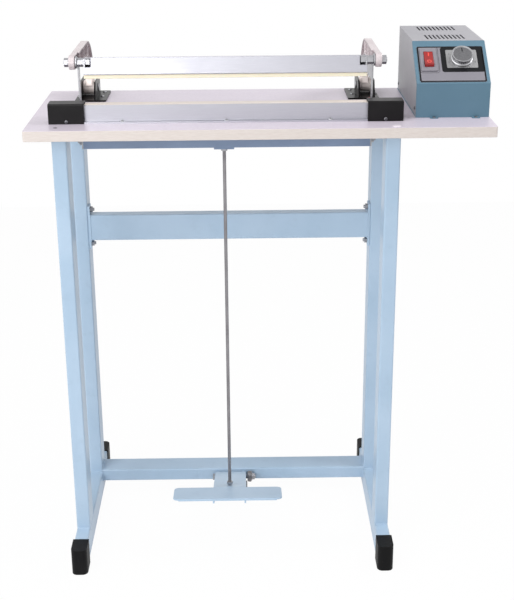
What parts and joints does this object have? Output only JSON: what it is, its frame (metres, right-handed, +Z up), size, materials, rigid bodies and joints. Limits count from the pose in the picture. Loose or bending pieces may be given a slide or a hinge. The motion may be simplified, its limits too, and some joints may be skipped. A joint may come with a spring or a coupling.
{
  "type": "foot-pedal impulse heat sealer",
  "caption": "Pedal-operated impulse heat sealer: a hinged jaw over a work table on a tube stand, pulled down by a rod, with a timer box on the right.",
  "frame": {"origin": "middle of the bounding box on the floor", "axes": "+Z up, -Y towards the operator, +X to the operator's right along the sealing line"},
  "size_m": [0.78, 0.436, 0.9318],
  "materials": {
    "blue_paint": "semi-gloss powder coat",
    "black_rubber": "matt moulded",
    "zinc_steel": "zinc plated",
    "spring_steel": "oiled spring wire",
    "laminate": "laminated board with a pale edge band",
    "aluminium": "mill-finished extrusion",
    "glass_laminate": "woven glass laminate",
    "ribbon_alloy": "rolled resistance ribbon",
    "ptfe_cloth": "coated glass cloth",
    "brass": "bright",
    "black_plastic": "fine-grained moulding",
    "black_paint": "black enamel",
    "cast_alloy": "cast and lacquered",
    "silicone": "smooth silicone",
    "teal_paint": "semi-gloss powder coat",
    "grey_paint": "semi-gloss powder coat",
    "label_grey": "satin film with a black border",
    "red_plastic": "translucent moulding",
    "satin_aluminium": "turned and satin anodised",
    "transformer_iron": "varnished laminations and winding",
    "board": "solder mask with parts"
  },
  "bodies": {
    "stand": {"left_front_upright": "blue_paint", "left_rear_upright": "blue_paint", "right_front_upright": "blue_paint", "right_rear_upright": "blue_paint", "left_base_tube": "blue_paint", "right_base_tube": "blue_paint", "table_carriers": "blue_paint", "upper_stretcher": "blue_paint", "stretcher_end_plates": "blue_paint", "lower_stretcher": "blue_paint", "pedal_lugs": "blue_paint", "foot_caps": "black_rubber", "cord_gland": "black_rubber", "stretcher_bolts": "zinc_steel", "table_screws": "zinc_steel", "rail_screws": "zinc_steel", "small_screws": "zinc_steel", "hinge_pins": "zinc_steel", "bracket_screws": "zinc_steel", "pedal_pin": "zinc_steel", "timer_body": "zinc_steel", "pedal_spring": "spring_steel", "table_top": "laminate", "lower_rail": "aluminium", "insulating_strip": "glass_laminate", "heating_ribbon": "ribbon_alloy", "nonstick_cloth": "ptfe_cloth", "ribbon_clamps": "brass", "left_end_cover": "black_plastic", "right_end_cover": "black_plastic", "trip_switch": "black_plastic", "rocker_bezel": "black_plastic", "hinge_brackets": "black_paint", "box_base": "teal_paint", "box_cover": "grey_paint", "panel_label": "label_grey", "dial_plate": "satin_aluminium", "transformer": "transformer_iron", "circuit_board": "board"},
    "jaw": {"left_arm": "cast_alloy", "right_arm": "cast_alloy", "jaw_bar": "aluminium", "silicone_strip": "silicone", "bar_end_plates": "zinc_steel", "jaw_bolts": "zinc_steel", "jaw_nuts": "zinc_steel", "jaw_spacers": "zinc_steel"},
    "pull_frame": {"left_link": "zinc_steel", "right_link": "zinc_steel", "crossbar": "blue_paint", "crossbar_bolts": "zinc_steel", "pull_rod": "zinc_steel", "rod_nuts": "zinc_steel"},
    "pedal": {"pedal_neck": "blue_paint", "foot_plate": "blue_paint", "pedal_spring_leg": "spring_steel"},
    "rocker_switch": {"rocker": "red_plastic"},
    "knob": {"timer_knob": "satin_aluminium", "timer_shaft": "zinc_steel"},
    "plunger": {"trip_plunger": "red_plastic"}
  },
  "joints": [
    {"name": "jaw_hinge", "type": "hinge", "parent": "stand", "child": "jaw", "pos_m": [-0.0565, 0.121, 0.8315], "axis": [1, 0, 0], "range_deg": [0, 10.2], "stiffness_Nm_per_rad": 25, "springref_deg": -22.92},
    {"name": "pull_frame_pivot", "type": "hinge", "parent": "jaw", "child": "pull_frame", "pos_m": [-0.0565, -0.09195, 0.9129], "axis": [1, 0, 0], "range_deg": [-10.2, 0]},
    {"name": "pedal_hinge", "type": "hinge", "parent": "stand", "child": "pedal", "pos_m": [-0.0615, 0.07325, 0.0395], "axis": [1, 0, 0], "range_deg": [0, 15.9]},
    {"name": "rocker_pivot", "type": "hinge", "parent": "stand", "child": "rocker_switch", "pos_m": [0.28845, -0.05387, 0.90384], "axis": [1, 0, 0], "range_deg": [0, 14]},
    {"name": "timer_turn", "type": "hinge", "parent": "stand", "child": "knob", "pos_m": [0.34475, -0.05328, 0.90554], "axis": [0, -0.6074, 0.7944], "range_deg": [-150, 150]},
    {"name": "plunger_slide", "type": "slide", "parent": "stand", "child": "plunger", "axis": [0, 0, -1], "range_m": [0, 0.0014]}
  ],
  "couplings": [
    {"joint": "pull_frame_pivot", "follows": "jaw_hinge", "ratio": -1},
    {"joint": "pedal_hinge", "follows": "jaw_hinge", "ratio": 1.5585},
    {"joint": "plunger_slide", "follows": "jaw_hinge", "m_per_rad": 0.0078563}
  ]
}
